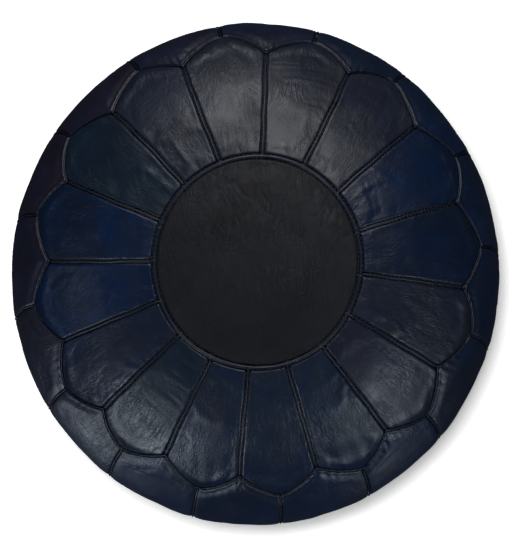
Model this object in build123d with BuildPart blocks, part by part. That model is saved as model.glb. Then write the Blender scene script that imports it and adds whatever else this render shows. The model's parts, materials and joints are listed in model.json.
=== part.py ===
"""Round leather pouf: a medallion, a rosette of petals and a ring of side panels over a flat base.

The cover is a skin of revolution about Z, standing on Z = 0. Its outline is a chain of tangent
arcs, each named by its radius and by the lean of the skin at its end: 0 degrees where the skin
faces up, 90 at the widest ring and 180 where it faces down. All sizes are in millimetres.
The base is two half discs with a zip in a shallow pocket between them, along X.
"""

import os
from math import asin, cos, degrees, radians, sin, tan

from build123d import *

# ---- the whole pouf -------------------------------------------------------------------------
HEIGHT = 320.0
DIAMETER = 530.0
PETALS = 16
MEDALLION_R = 106.0  # middle of the piping round the medallion
VALLEY_R = 218.0  # where two petals and a side panel meet, seen from above
TIP_R = 239.5  # outer point of each petal, seen from above
SCALLOP_BULGE = 3.0  # how far the edge of a petal bows out between valley and tip
SPREAD = 3.2  # degrees that the hand-cut rosette's seams crowd round from one side...
SPREAD_TOWARDS = 158.0  # ...towards the seams at this angle, so that the petals differ in width
BASE_SEAM_R = 190.0

# ---- materials and seams ----------------------------------------------------------------------
LEATHER = 1.4
LINER = 0.6
LINER_DEPTH = 2.8  # outer face of the liner, below the leather's outer face
STUFFING_DEPTH = 3.6
CLEARANCE = 0.15  # between a strip of piping and the panel beside it
WELT_W = 3.8  # rolled strip in the seams that run out from the medallion
WELT_PROUD = 1.1
RING_W = 5.0  # rolled ring round the medallion
RING_PROUD = 1.6
SCALLOP_W = 2.6  # strip along the edge of the rosette
SCALLOP_PROUD = 0.7
SIDE_WELT_W = 3.0
SIDE_WELT_PROUD = 0.7
BASE_PIPING_W = 4.0
BASE_PIPING_PROUD = 0.8
STRIP_DEPTH = 2.0  # how deep every strip reaches below the skin
BASE_SEAM_GAP = 0.4  # between the two halves of the base

# ---- the skin's outline -----------------------------------------------------------------------
MEDALLION_LEAN = 9.5
SHOULDER_LEAN = 42.0
SIDE_LEAN = 118.0
SHOULDER_RADIUS = 136.2
SIDE_RADIUS = 215.0


def rise(start, end):
    """How far a unit arc between two leans runs outwards, and how far it drops."""
    return sin(radians(end)) - sin(radians(start)), cos(radians(start)) - cos(radians(end))


cap_radius = MEDALLION_R / sin(radians(MEDALLION_LEAN))
shoulder_out, shoulder_drop = rise(SHOULDER_LEAN, 90)
petal_out, petal_drop = rise(MEDALLION_LEAN, SHOULDER_LEAN)
petal_radius = (DIAMETER / 2 - MEDALLION_R - SHOULDER_RADIUS * shoulder_out) / petal_out
cap_drop = cap_radius * (1 - cos(radians(MEDALLION_LEAN)))
equator_z = HEIGHT - cap_drop - petal_radius * petal_drop - SHOULDER_RADIUS * shoulder_drop
corner_radius = (equator_z - SIDE_RADIUS * rise(90, SIDE_LEAN)[1]) / rise(SIDE_LEAN, 180)[1]

ARC_ENDS = [
    (cap_radius, MEDALLION_LEAN),
    (petal_radius, SHOULDER_LEAN),
    (SHOULDER_RADIUS, 90.0),
    (SIDE_RADIUS, SIDE_LEAN),
    (corner_radius, 180.0),
]


def outline_arcs():
    """The outline as (centre r, centre z, radius, lean at start, lean at end), from the top down."""
    arcs, r, z, start = [], 0.0, HEIGHT, 0.0
    for radius, end in ARC_ENDS:
        centre = (r - radius * sin(radians(start)), z - radius * cos(radians(start)))
        arcs.append((*centre, radius, start, end))
        r = centre[0] + radius * sin(radians(end))
        z = centre[1] + radius * cos(radians(end))
        start = end
    return arcs


ARCS = outline_arcs()


def skin(lean, inset=0.0):
    """The point (r, z) of the outline at a lean, moved inwards along its normal."""
    for centre_r, centre_z, radius, _, end in ARCS:
        if lean <= end:
            break
    reach = radius - inset
    return centre_r + reach * sin(radians(lean)), centre_z + reach * cos(radians(lean))


def lean_at(r, upper=True):
    """The lean of the skin where it passes radius r, above or below the widest ring."""
    for centre_r, _, radius, start, end in ARCS:
        lean = degrees(asin(max(-1.0, min(1.0, (r - centre_r) / radius))))
        lean = lean if upper else 180 - lean
        if start - 1e-6 <= lean <= end + 1e-6 and (end <= 90) == upper:
            return lean
    raise ValueError(f"the skin has no radius {r}")


def draw_arcs(start, end, inset):
    """Adds the outline between two leans to the line being built, at a given inset."""
    stops = [start] + [arc[4] for arc in ARCS if start < arc[4] < end] + [end]
    for a, b in zip(stops, stops[1:]):
        # the skin's arcs meet at a stop, so the point just past it belongs to the next arc
        ThreePointArc(skin(a + 1e-9, inset), skin((a + b) / 2, inset), skin(b, inset))


def band(start, end, outer, inner):
    """A ring of the skin between two leans, from inset outer to inset inner."""
    with BuildPart() as ring:
        with BuildSketch(Plane.XZ):
            with BuildLine():
                draw_arcs(start, end, outer)
                Line(skin(end, outer), skin(end, inner))
                draw_arcs(start, end, inner)
                Line(skin(start + 1e-9, inner), skin(start + 1e-9, outer))
            make_face()
        revolve(axis=Axis.Z)
    return ring.part


def closed_body(inset):
    """The whole solid inside the skin, at a given inset."""
    with BuildPart() as body:
        with BuildSketch(Plane.XZ):
            with BuildLine():
                draw_arcs(0, 180, inset)
                Polyline(skin(180, inset), (0, inset), (0, HEIGHT - inset))
            make_face()
        revolve(axis=Axis.Z)
    return body.part


# ---- plan outlines ----------------------------------------------------------------------------
STEP = 360 / PETALS
seam_slope = cos(radians(26))  # a rosette edge runs about 26 degrees off its circle


def polar(r, angle):
    return r * cos(radians(angle)), r * sin(radians(angle))


def seam_angle(n):
    """Where seam n between two petals lies, in degrees about Z."""
    return n * STEP + SPREAD * cos(radians(n * STEP - SPREAD_TOWARDS))


def peak_angle(n):
    """Where petal n's tip and the side seam below it lie: half way between its two seams."""
    return (seam_angle(n) + seam_angle(n + 1)) / 2


def rosette(grow):
    """Prism over the rosette's scalloped outline, moved outwards by grow, from the widest ring up."""
    valley, tip = VALLEY_R + grow / seam_slope, TIP_R + grow / seam_slope
    middle = (valley + tip) / 2 + SCALLOP_BULGE
    with BuildPart() as prism:
        with BuildSketch(Plane.XY.offset(equator_z)):
            with BuildLine():
                for n in range(PETALS):
                    first, peak, last = seam_angle(n), peak_angle(n), seam_angle(n + 1)
                    rising, falling = (first + peak) / 2, (peak + last) / 2
                    ThreePointArc(polar(valley, first), polar(middle, rising), polar(tip, peak))
                    ThreePointArc(polar(tip, peak), polar(middle, falling), polar(valley, last))
            make_face()
        extrude(amount=HEIGHT)
    return prism.part


def wedge(start, end, gap):
    """Prism between two meridians, drawn in by gap from each of them."""
    half_angle = radians(end - start) / 2
    apex = gap / sin(half_angle)
    half = DIAMETER * tan(half_angle)
    with BuildPart() as prism:
        with BuildSketch(Plane.XY.rotated((0, 0, (start + end) / 2))):
            Polygon((apex, 0), (apex + DIAMETER, -half), (apex + DIAMETER, half), align=None)
        extrude(amount=2 * HEIGHT, both=True)
    return prism.part


def strip(width, start, end):
    """Box of a given width along +X from radius start to radius end, over the full height."""
    with BuildPart() as box:
        with BuildSketch(Plane.XY.offset(-HEIGHT)):
            with Locations(((start + end) / 2, 0)):
                Rectangle(end - start, width)
        extrude(amount=3 * HEIGHT)
    return box.part


def keep(part, name):
    part.label = name
    export_step(part, f"parts/{name}.step")


os.makedirs("parts", exist_ok=True)

# ---- medallion and its ring -------------------------------------------------------------------
ring_inner = lean_at(MEDALLION_R - RING_W / 2)
ring_outer = lean_at(MEDALLION_R + RING_W / 2)
medallion_edge = lean_at(MEDALLION_R - RING_W / 2 - CLEARANCE)
petal_start = lean_at(MEDALLION_R + RING_W / 2 + CLEARANCE)

with BuildPart() as medallion:
    with BuildSketch(Plane.XZ):
        with BuildLine():
            draw_arcs(0, medallion_edge, 0)
            Line(skin(medallion_edge), skin(medallion_edge, LEATHER))
            draw_arcs(0, medallion_edge, LEATHER)
            Line(skin(0, LEATHER), skin(0))
        make_face()
    revolve(axis=Axis.Z)
keep(medallion.part, "medallion")

with BuildPart() as medallion_piping:
    add(band(ring_inner, ring_outer, -RING_PROUD, STRIP_DEPTH))
    ridge = medallion_piping.edges().group_by(Axis.Z)[-1]
    fillet(ridge, RING_PROUD * 0.6)
keep(medallion_piping.part, "medallion_piping")

# ---- petals -----------------------------------------------------------------------------------
with BuildPart() as all_petals:
    add(band(petal_start, lean_at(TIP_R + SCALLOP_W), 0, LEATHER))
    add(rosette(-SCALLOP_W / 2 - CLEARANCE), mode=Mode.INTERSECT)
for n in range(PETALS):
    with BuildPart() as petal:
        add(all_petals.part)
        add(wedge(seam_angle(n), seam_angle(n + 1), WELT_W / 2 + CLEARANCE), mode=Mode.INTERSECT)
    keep(petal.part, f"petal_{n + 1:02d}")

# ---- welts between the petals -----------------------------------------------------------------
with BuildPart() as petal_welt_master:
    add(band(petal_start, lean_at(VALLEY_R), -WELT_PROUD, STRIP_DEPTH))
    add(strip(WELT_W, MEDALLION_R, VALLEY_R - SCALLOP_W), mode=Mode.INTERSECT)
with BuildPart() as petal_welts:
    with Locations(*[Location((0, 0, 0), (0, 0, seam_angle(n))) for n in range(PETALS)]):
        add(petal_welt_master.part)
keep(petal_welts.part, "petal_welts")

# ---- piping along the scalloped edge ----------------------------------------------------------
with BuildPart() as scallop_piping:
    add(band(lean_at(VALLEY_R - 2 * SCALLOP_W), lean_at(TIP_R + 2 * SCALLOP_W), -SCALLOP_PROUD, STRIP_DEPTH))
    add(rosette(SCALLOP_W / 2), mode=Mode.INTERSECT)
    add(rosette(-SCALLOP_W / 2), mode=Mode.SUBTRACT)
keep(scallop_piping.part, "scallop_piping")

# ---- side panels ------------------------------------------------------------------------------
base_edge = lean_at(BASE_SEAM_R + BASE_PIPING_W / 2 + CLEARANCE, upper=False)
with BuildPart() as all_sides:
    add(band(lean_at(VALLEY_R), base_edge, 0, LEATHER))
    add(rosette(SCALLOP_W / 2 + CLEARANCE), mode=Mode.SUBTRACT)
for n in range(PETALS):
    with BuildPart() as side_panel:
        add(all_sides.part)
        add(wedge(peak_angle(n - 1), peak_angle(n), SIDE_WELT_W / 2 + CLEARANCE), mode=Mode.INTERSECT)
    keep(side_panel.part, f"side_panel_{n + 1:02d}")

# ---- welts between the side panels ------------------------------------------------------------
with BuildPart() as side_welt_master:
    add(band(lean_at(TIP_R + SCALLOP_W), base_edge, -SIDE_WELT_PROUD, STRIP_DEPTH))
    add(strip(SIDE_WELT_W, BASE_SEAM_R, DIAMETER), mode=Mode.INTERSECT)
with BuildPart() as side_welts:
    with Locations(*[Location((0, 0, 0), (0, 0, peak_angle(n))) for n in range(PETALS)]):
        add(side_welt_master.part)
keep(side_welts.part, "side_welts")

# ---- zip pocket: nested slots, each (half width, half length) -----------------------------------
POCKET_DEPTH = 6.0
POCKET_MOUTH = (24.0, 172.0)
POCKET_ROOF = (15.0, 160.0)
ZIP_SLOT = (9.0, 150.0)
POCKET_WALL = 2.0


def slot_loft(low, low_z, high, high_z):
    """Solid between two slots at different heights."""
    with BuildPart() as solid:
        with BuildSketch(Plane.XY.offset(low_z)):
            SlotOverall(2 * low[1], 2 * low[0])
        with BuildSketch(Plane.XY.offset(high_z)):
            SlotOverall(2 * high[1], 2 * high[0])
        loft(ruled=True)
    return solid.part


def grown(slot, by):
    return slot[0] + by, slot[1] + by


with BuildPart() as base_whole:
    base_lean = lean_at(BASE_SEAM_R - BASE_PIPING_W / 2 - CLEARANCE, upper=False)
    with BuildSketch(Plane.XZ):
        with BuildLine():
            draw_arcs(base_lean, 180, 0)
            Polyline(skin(180), (0, 0), (0, LEATHER), skin(180, LEATHER))
            draw_arcs(base_lean, 180, LEATHER)
            Line(skin(base_lean, LEATHER), skin(base_lean))
        make_face()
    revolve(axis=Axis.Z)
    roof_z = POCKET_DEPTH + LEATHER
    add(slot_loft(grown(POCKET_MOUTH, POCKET_WALL), 0, grown(POCKET_ROOF, POCKET_WALL), roof_z))
    add(closed_body(0), mode=Mode.INTERSECT)
    add(slot_loft(POCKET_MOUTH, 0, POCKET_ROOF, POCKET_DEPTH), mode=Mode.SUBTRACT)
    add(slot_loft(ZIP_SLOT, POCKET_DEPTH - 1, ZIP_SLOT, roof_z + 1), mode=Mode.SUBTRACT)

for name, side in (("base_panel_front", -1), ("base_panel_back", 1)):
    with BuildPart() as base_half:
        add(base_whole.part)
        with BuildSketch():
            with Locations((0, side * (DIAMETER / 2 + BASE_SEAM_GAP / 2))):
                Rectangle(DIAMETER, DIAMETER)
        extrude(amount=HEIGHT / 2, mode=Mode.INTERSECT)
    keep(base_half.part, name)

with BuildPart() as base_piping:
    inner_lean = lean_at(BASE_SEAM_R - BASE_PIPING_W / 2, upper=False)
    outer_lean = lean_at(BASE_SEAM_R + BASE_PIPING_W / 2, upper=False)
    add(band(outer_lean, inner_lean, -BASE_PIPING_PROUD, STRIP_DEPTH))
keep(base_piping.part, "base_piping")

# ---- zip ----------------------------------------------------------------------------------------
CHAIN_Z = POCKET_DEPTH + LEATHER + 0.4  # middle of the teeth
TAPE = 0.6
TAPE_EDGE = 2.0  # from the zip's middle line to the edge of each tape
TAPE_W = 14.0
TAPE_HALF_LENGTH = 148.0
CHAIN_START = -125.0
CHAIN_END = 117.0
PITCH = 4.0
TOOTH = (5.0, 1.7, 2.6)  # reach, width and thickness
TOOTH_HEAD = 1.0  # how far each tooth crosses the middle line

for name, side in (("zip_tape_front", -1), ("zip_tape_back", 1)):
    with BuildPart() as tape:
        with Locations((0, side * (TAPE_EDGE + TAPE_W) / 2, CHAIN_Z)):
            Box(2 * TAPE_HALF_LENGTH, TAPE_W - TAPE_EDGE, TAPE)
    keep(tape.part, name)

for name, side, shift in (("zip_teeth_front", -1, 0.0), ("zip_teeth_back", 1, PITCH / 2)):
    count = int((CHAIN_END - CHAIN_START) / PITCH)
    with BuildPart() as teeth:
        places = [
            (CHAIN_START + shift + n * PITCH, side * (TOOTH[0] / 2 - TOOTH_HEAD), CHAIN_Z) for n in range(count)
        ]
        with Locations(*places):
            Box(TOOTH[1], TOOTH[0], TOOTH[2])
        for place in places:
            with Locations((place[0], side * (TAPE_EDGE + TOOTH[0]) / 2, CHAIN_Z)):
                Box(TOOTH[1], TOOTH[0] - TAPE_EDGE, TAPE, mode=Mode.SUBTRACT)
    keep(teeth.part, name)

STOP = (3.0, 2.4, 2.4)
SLIDER_X = CHAIN_END  # middle of the slider when the zip is shut
SLIDER_LENGTH = 16.0
with BuildPart() as top_stops:
    front = SLIDER_X + SLIDER_LENGTH / 2 + 0.5
    for side in (-1, 1):
        with Locations((front + STOP[0] / 2, side * (TAPE_EDGE + 0.6), CHAIN_Z)):
            Box(*STOP)
    for side in (-1, 1):
        with Locations((front + STOP[0] / 2, side * (TAPE_EDGE + STOP[1] / 2), CHAIN_Z)):
            Box(STOP[0], STOP[1], TAPE, mode=Mode.SUBTRACT)
keep(top_stops.part, "zip_top_stops")

with BuildPart() as bottom_stop:
    with Locations((CHAIN_START - PITCH, 0, CHAIN_Z)):
        Box(3.4, 7.0, 2.8)
    for side in (-1, 1):
        with Locations((CHAIN_START - PITCH, side * (TAPE_EDGE + 3.5) / 2, CHAIN_Z)):
            Box(3.4, 3.5 - TAPE_EDGE, TAPE, mode=Mode.SUBTRACT)
keep(bottom_stop.part, "zip_bottom_stop")

PATCH = (12.0, 14.0, 1.2)
with BuildPart() as end_patches:
    for end in (-1, 1):
        with Locations((end * (ZIP_SLOT[1] - PATCH[0]), 0, CHAIN_Z - TAPE / 2 - PATCH[2] / 2)):
            Box(*PATCH)
    fillet(end_patches.edges().filter_by(Axis.Z), 2.0)
keep(end_patches.part, "zip_end_patches")

# ---- slider and pull --------------------------------------------------------------------------
PLATE = 0.9
SLIDER_GAP = TOOTH[2] / 2 + 0.35
SLIDER_REAR_W = 2 * (TOOTH[0] - TOOTH_HEAD) + 2.8
SLIDER_MOUTH_W = SLIDER_REAR_W + 4.6
FLANGE = 1.0
DIAMOND_W = 2.6
plate_low = CHAIN_Z - SLIDER_GAP - PLATE
flange_height = SLIDER_GAP - TAPE / 2 - 0.3


with BuildSketch() as slider_plan:
    half = SLIDER_LENGTH / 2
    rear = SLIDER_REAR_W / 2
    mouth = SLIDER_MOUTH_W / 2
    Polygon((-half, -rear), (-1, -rear), (half, -mouth), (half, mouth), (-1, rear), (-half, rear), align=None)
    fillet(slider_plan.vertices().group_by(Axis.X)[0], 2.0)
    fillet(slider_plan.vertices().group_by(Axis.X)[-1], 1.0)

with BuildPart() as slider:
    for z in (plate_low, CHAIN_Z + SLIDER_GAP):
        with BuildSketch(Plane.XY.offset(z)):
            with Locations((SLIDER_X, 0)):
                add(slider_plan.sketch)
        extrude(amount=PLATE)
    for z in (CHAIN_Z - SLIDER_GAP, CHAIN_Z + SLIDER_GAP - flange_height):
        with BuildSketch(Plane.XY.offset(z)):
            with Locations((SLIDER_X, 0)):
                add(slider_plan.sketch)
            with Locations((SLIDER_X, 0)):
                Rectangle(SLIDER_LENGTH + 1, SLIDER_REAR_W - 2 * FLANGE, mode=Mode.SUBTRACT)
            with Locations((SLIDER_X + SLIDER_LENGTH / 2, 0)):
                Rectangle(3.0, SLIDER_MOUTH_W + 1, mode=Mode.SUBTRACT)
        extrude(amount=flange_height)
    with BuildSketch(Plane.XY.offset(plate_low)):
        with Locations((SLIDER_X + SLIDER_LENGTH / 2 - 2.6, 0)):
            Rectangle(4.0, DIAMOND_W)
    extrude(amount=2 * (SLIDER_GAP + PLATE))

BRIDGE_SPAN = 11.0
BRIDGE_W = 2.0
BRIDGE_DROP = 2.9
BRIDGE_T = 0.8
PULL_AXIS_Z = plate_low - 1.1
PULL_T = 1.1
PULL_W = 7.6
PULL_LENGTH = 28.0
PIN_R = 0.55
with BuildPart() as bridge:
    with BuildSketch(Plane.XZ):
        with Locations((SLIDER_X, plate_low - BRIDGE_DROP / 2)):
            RectangleRounded(BRIDGE_SPAN, BRIDGE_DROP, 1.0)
            Rectangle(BRIDGE_SPAN + 1, BRIDGE_DROP / 2, align=(Align.CENTER, Align.MIN))
            with Locations((0, BRIDGE_T / 2)):
                Rectangle(BRIDGE_SPAN - 2 * BRIDGE_T, BRIDGE_DROP - BRIDGE_T, mode=Mode.SUBTRACT)
    extrude(amount=BRIDGE_W / 2, both=True)
with BuildPart() as zip_slider:
    add(slider.part)
    add(bridge.part)
keep(zip_slider.part, "zip_slider")

with BuildPart() as zip_pull:
    arm_gap = BRIDGE_W + 0.8
    with BuildSketch(Plane.XY.offset(PULL_AXIS_Z - PULL_T / 2)):
        with Locations((SLIDER_X - PULL_LENGTH / 2 + PIN_R, 0)):
            RectangleRounded(PULL_LENGTH, PULL_W, 2.2)
        with Locations((SLIDER_X - BRIDGE_SPAN / 2 + 0.4, 0)):
            Rectangle(BRIDGE_SPAN + 3, arm_gap, mode=Mode.SUBTRACT)
        with Locations((SLIDER_X - PULL_LENGTH + 4.6, 0)):
            Circle(1.5, mode=Mode.SUBTRACT)
    extrude(amount=PULL_T)
    with Locations((SLIDER_X, 0, PULL_AXIS_Z)):
        Cylinder(PIN_R, arm_gap + 2, rotation=(90, 0, 0))
keep(zip_pull.part, "zip_pull")

# ---- liner bag and stuffing -------------------------------------------------------------------
POCKET_ROOM = (31.0, 180.0)
POCKET_ROOM_TOP = (24.0, 172.0)
pocket_room_z = CHAIN_Z + SLIDER_GAP + PLATE + 1.2


def pocket_room(by):
    """Room for the zip pocket in what lies above it, grown by a wall."""
    return slot_loft(grown(POCKET_ROOM, by), -1, grown(POCKET_ROOM_TOP, by), pocket_room_z + by)


with BuildPart() as liner_bag:
    add(closed_body(LINER_DEPTH))
    add(pocket_room(0), mode=Mode.SUBTRACT)
    with BuildPart(mode=Mode.PRIVATE) as hollow:
        add(closed_body(LINER_DEPTH + LINER))
        add(pocket_room(LINER), mode=Mode.SUBTRACT)
    add(hollow.part, mode=Mode.SUBTRACT)
keep(liner_bag.part, "liner_bag")

with BuildPart() as stuffing:
    add(closed_body(STUFFING_DEPTH))
    add(pocket_room(LINER + CLEARANCE), mode=Mode.SUBTRACT)
keep(stuffing.part, "stuffing")
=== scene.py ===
"""The looks of a round leather pouf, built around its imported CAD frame.

Shapes are worked out in millimetres in the row's frame and scaled to metres when a mesh is made.
The cover's own coordinates are an angle about Z, a distance along the skin from the top's middle,
and a height above the skin.
"""

import json
import math

import bpy
import numpy as np
from mathutils import Matrix, Vector

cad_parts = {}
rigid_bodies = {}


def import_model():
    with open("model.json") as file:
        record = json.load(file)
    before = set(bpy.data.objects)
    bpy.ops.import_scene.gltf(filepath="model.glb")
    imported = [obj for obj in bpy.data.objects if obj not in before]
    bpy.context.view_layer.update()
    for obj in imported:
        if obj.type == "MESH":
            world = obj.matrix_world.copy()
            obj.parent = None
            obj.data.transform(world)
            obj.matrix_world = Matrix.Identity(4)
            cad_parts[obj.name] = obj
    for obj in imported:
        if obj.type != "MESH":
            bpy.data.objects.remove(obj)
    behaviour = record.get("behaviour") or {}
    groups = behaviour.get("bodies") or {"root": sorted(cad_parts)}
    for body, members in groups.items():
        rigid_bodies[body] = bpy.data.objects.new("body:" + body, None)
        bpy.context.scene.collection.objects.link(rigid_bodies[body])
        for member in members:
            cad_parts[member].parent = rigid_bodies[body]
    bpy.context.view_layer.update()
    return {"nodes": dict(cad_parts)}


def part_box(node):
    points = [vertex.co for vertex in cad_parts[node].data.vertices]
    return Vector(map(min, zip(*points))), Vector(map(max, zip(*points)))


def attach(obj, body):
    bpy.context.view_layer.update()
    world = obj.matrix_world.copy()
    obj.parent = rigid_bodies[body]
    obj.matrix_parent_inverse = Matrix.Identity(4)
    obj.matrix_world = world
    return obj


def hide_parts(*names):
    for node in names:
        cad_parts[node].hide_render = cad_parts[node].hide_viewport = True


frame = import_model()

MM = 0.001
rng = np.random.default_rng(7)

# ---- the cover's sizes, as in the CAD ----
HEIGHT, DIAMETER, PETALS = 320.0, 530.0, 16
MEDALLION_R, VALLEY_R, TIP_R = 106.0, 218.0, 239.5
SPREAD, SPREAD_TOWARDS = 3.2, 158.0
BASE_SEAM_R = 190.0
MEDALLION_LEAN, SHOULDER_LEAN, SIDE_LEAN = 9.5, 42.0, 118.0
SHOULDER_RADIUS, SIDE_RADIUS = 136.2, 215.0
STEP = 360 / PETALS


# ---- the skin of revolution ----
ARC_POINTS = 800


def skin_samples():
    """Lean (radians), distance along the skin, radius and height of finely spaced skin points."""

    def run(a, b):
        """How far an arc of radius 1 goes outward and down between two leans."""
        return np.sin(b) - np.sin(a), np.cos(a) - np.cos(b)

    lean = [math.radians(a) for a in (0, MEDALLION_LEAN, SHOULDER_LEAN, 90, SIDE_LEAN, 180)]
    cap = MEDALLION_R / math.sin(lean[1])
    shoulder_out, shoulder_drop = run(lean[2], lean[3])
    petal_out, petal_drop = run(lean[1], lean[2])
    petal = (DIAMETER / 2 - MEDALLION_R - SHOULDER_RADIUS * shoulder_out) / petal_out
    equator = HEIGHT - cap * (1 - math.cos(lean[1])) - petal * petal_drop - SHOULDER_RADIUS * shoulder_drop
    corner = (equator - SIDE_RADIUS * run(lean[3], lean[4])[1]) / run(lean[4], lean[5])[1]
    rows, r, z, s = [], 0.0, HEIGHT, 0.0
    for radius, start, end in zip((cap, petal, SHOULDER_RADIUS, SIDE_RADIUS, corner), lean, lean[1:]):
        a = np.linspace(start, end, ARC_POINTS)[:-1]
        out, drop = run(start, a)
        rows.append(np.stack([a, s + radius * (a - start), r + radius * out, z - radius * drop]))
        out, drop = run(start, end)
        r, z, s = r + radius * out, z - radius * drop, s + radius * (end - start)
    return np.concatenate(rows + [np.array([[math.pi], [s], [r], [z]])], axis=1)


LEAN, DIST, RADIUS, RISE = skin_samples()
WIDEST = int(np.argmax(RADIUS))
EQUATOR_Z = RISE[WIDEST]


def dist_at(r, upper=True):
    """Distance along the skin where it has radius r, above or below the widest ring."""
    if upper:
        return np.interp(r, RADIUS[: WIDEST + 1], DIST[: WIDEST + 1])
    return np.interp(r, RADIUS[WIDEST:][::-1], DIST[WIDEST:][::-1])


def smooth(a, b, x):
    """0 at a, 1 at b, with a soft start and end."""
    t = np.clip((x - a) / (b - a), 0, 1)
    return t * t * (3 - 2 * t)


def point(x, y, z):
    """Points from their coordinates, which are grids, rows or plain numbers."""
    return np.stack(np.broadcast_arrays(x, y, z), axis=-1)


CAMERA_ROLL = 3.6  # degrees that the pouf is turned clockwise in the picture
FRONT = math.radians(-90 + CAMERA_ROLL - 8)  # the way the stuffing has slumped
SLUMP = 9.5
OVAL = 0.012


def hand(p):
    """The uneven shape of a hand-stuffed pouf: the sides lean one way and the plan is a little oval."""
    z = p[..., 2]
    sides = smooth(238, 160, z) * smooth(10, 75, z)
    body = smooth(6, 60, z)
    q = p.copy()
    q[..., 0] = p[..., 0] * (1 - OVAL * body) + SLUMP * math.cos(FRONT) * sides
    q[..., 1] = p[..., 1] * (1 + OVAL * body) + SLUMP * math.sin(FRONT) * sides
    return q


def place(angle, dist, height):
    """Points on the cover, from an angle in degrees, a distance along the skin and a height above it."""
    lean = np.interp(dist, DIST, LEAN)
    r = np.interp(dist, DIST, RADIUS) + height * np.sin(lean)
    z = np.interp(dist, DIST, RISE) + height * np.cos(lean)
    a = np.radians(angle)
    return hand(point(r * np.cos(a), r * np.sin(a), z))


def up_at(angle, dist):
    """The skin's outward normal."""
    lean = np.interp(dist, DIST, LEAN)
    a = np.radians(angle)
    return point(np.sin(lean) * np.cos(a), np.sin(lean) * np.sin(a), np.cos(lean))


# ---- noise ----
def noise(p, seed):
    """Smooth value noise from -1 to 1 at points p, whose unit is one lattice cell."""
    base = np.floor(p).astype(np.int64)
    f = p - base
    f = f * f * f * (f * (f * 6 - 15) + 10)
    total = np.zeros(p.shape[:-1])
    for corner in range(8):
        step = [(corner >> k) & 1 for k in range(3)]
        h = seed * 1274126177
        weight = 1.0
        for k, prime in enumerate((374761393, 668265263, 1442695041)):
            h += (base[..., k] + step[k]) * prime
            weight = weight * (f[..., k] if step[k] else 1 - f[..., k])
        h = h & 0xFFFFFFFF
        h = ((h ^ (h >> 13)) * 1274126177) & 0xFFFFFFFF
        h = ((h ^ (h >> 15)) * 668265263) & 0xFFFFFFFF
        total += weight * (((h ^ (h >> 16)) & 0xFFFF) / 32767.5 - 1)
    return total


def clouds(p, size, seed, octaves=3):
    """Noise in several sizes, from one size in millimetres down."""
    total, gain = 0.0, 1.0
    for k in range(octaves):
        total = total + gain * noise(p / size, seed + 31 * k)
        size, gain = size / 2, gain / 2
    return total / (2 - gain)


# ---- where the seams run ----
def seam_angle(n):
    """Angle in degrees of the seam before petal n. The petals are a little wider on one side."""
    return n * STEP + SPREAD * math.cos(math.radians(n * STEP - SPREAD_TOWARDS))


seam_bow = rng.uniform(-1.3, 1.3, PETALS)
seam_wave = rng.uniform(0, 6.28, PETALS)
peak_shift = rng.uniform(-0.7, 0.7, PETALS)
valley_r = VALLEY_R + rng.uniform(-1.2, 1.2, PETALS)
tip_r = TIP_R + rng.uniform(-1.3, 1.3, PETALS)
tip_round = rng.uniform(0.0, 1.0, PETALS)
side_bow = rng.uniform(-2.0, 2.0, PETALS)
half_bow = rng.uniform(0.5, 3.4, (2, PETALS))  # how far each half of a petal's outer edge bows out


def peak_angle(n):
    """Angle of petal n's tip."""
    return (seam_angle(n) + seam_angle(n + 1)) / 2 + peak_shift[n % PETALS]


def seam_line(n, dist):
    """Angle of the seam between petals n - 1 and n at a distance along the skin."""
    along = np.clip((dist - D_RING) / (D_VALLEY - D_RING), 0, 1)
    k = n % PETALS
    off = seam_bow[k] * np.sin(math.pi * along) + 0.25 * np.sin(along * 17 + seam_wave[k])
    return seam_angle(n) + np.degrees(off / np.interp(dist, DIST, RADIUS))


def side_line(n, dist):
    """Angle of the side seam below petal n's tip."""
    along = np.clip((dist - D_TIP) / (D_BASE - D_TIP), 0, 1)
    off = side_bow[n % PETALS] * np.sin(math.pi * along)
    return peak_angle(n) + np.degrees(off / np.interp(dist, DIST, RADIUS))


D_RING = dist_at(MEDALLION_R)
D_VALLEY = dist_at(VALLEY_R)
D_TIP = dist_at(TIP_R)
D_BASE = dist_at(BASE_SEAM_R, upper=False)


def scallop_r(angle):
    """Radius of the rosette's edge, seen from above, at an angle in degrees."""
    angle = np.asarray(angle, float)
    out = np.zeros_like(angle)
    for n in range(PETALS):
        a, b, c = seam_angle(n), peak_angle(n), seam_angle(n + 1)
        turned = (angle - a) % 360
        inside = turned < (c - a)
        t = np.where(turned < b - a, turned / (b - a), (c - a - turned) / (c - b))
        valley = np.where(turned < b - a, valley_r[n], valley_r[(n + 1) % PETALS])
        bow = np.where(turned < b - a, half_bow[0, n], half_bow[1, n]) * 4 * t * (1 - t)
        rounding = (0.3 + tip_round[n]) * smooth(0.8, 1.0, t)
        r = valley + (tip_r[n] - valley) * t + bow - rounding
        out = np.where(inside, r, out)
    return out


def scallop_dist(angle):
    return dist_at(scallop_r(angle))


# ---- meshes ----
COARSE = 4  # the hidden inner face of a panel has every fourth point of the outer one


def make_object(name, verts, faces, dye=None, cut=None):
    """A mesh object from points in millimetres, with a colour for each point, which on the leather holds
    painted shade and sheen as well as dye, and cut, each point's place in the hide.
    """
    mesh = bpy.data.meshes.new(name)
    mesh.from_pydata([tuple(v) for v in (verts * MM).tolist()], [], faces)
    if dye is not None:
        rgba = np.concatenate([dye, np.ones_like(dye[:, :1])], axis=1)
        for key, kind, part, values in (("dye", "COLOR", "color", rgba), ("cut", "VECTOR", "vector", cut)):
            layer = mesh.attributes.new(key, "FLOAT_" + kind, "POINT")
            layer.data.foreach_set(part, np.asarray(values, np.float32).ravel())
    mesh.polygons.foreach_set("use_smooth", [True] * len(mesh.polygons))
    mesh.update()
    obj = bpy.data.objects.new(name, mesh)
    bpy.context.scene.collection.objects.link(obj)
    return obj


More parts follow.
